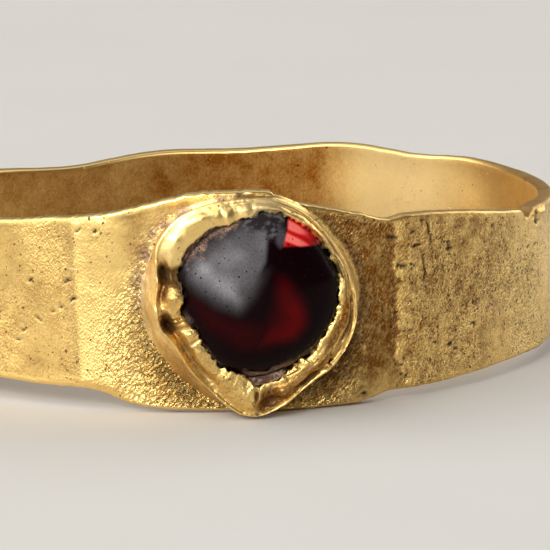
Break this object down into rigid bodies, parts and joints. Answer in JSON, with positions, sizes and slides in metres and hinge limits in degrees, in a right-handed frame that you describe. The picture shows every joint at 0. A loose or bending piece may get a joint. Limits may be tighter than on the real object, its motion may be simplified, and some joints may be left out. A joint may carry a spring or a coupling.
{
  "type": "gemstone ring",
  "caption": "Finger ring of hammered gold strap with a drop-shaped collar that holds a domed dark red garnet; it lies on its side.",
  "frame": {"origin": "on the axis of the finger hole, in the plane that the ring rests on", "axes": "+Z along the finger's axis and up from the surface, -Y the way the stone looks, +X to the viewer's right of the stone"},
  "size_m": [0.0192, 0.021, 0.0059],
  "materials": {
    "gold": "hammered high-carat gold, matt from burial, with brown patina in its recesses",
    "garnet": "worn polished garnet dome, satin, near black with a dark red glow",
    "packing": "dry granular brown packing"
  },
  "bodies": {
    "root": {"band_and_bezel": "gold", "garnet": "garnet", "bedding": "packing"}
  },
  "joints": []
}
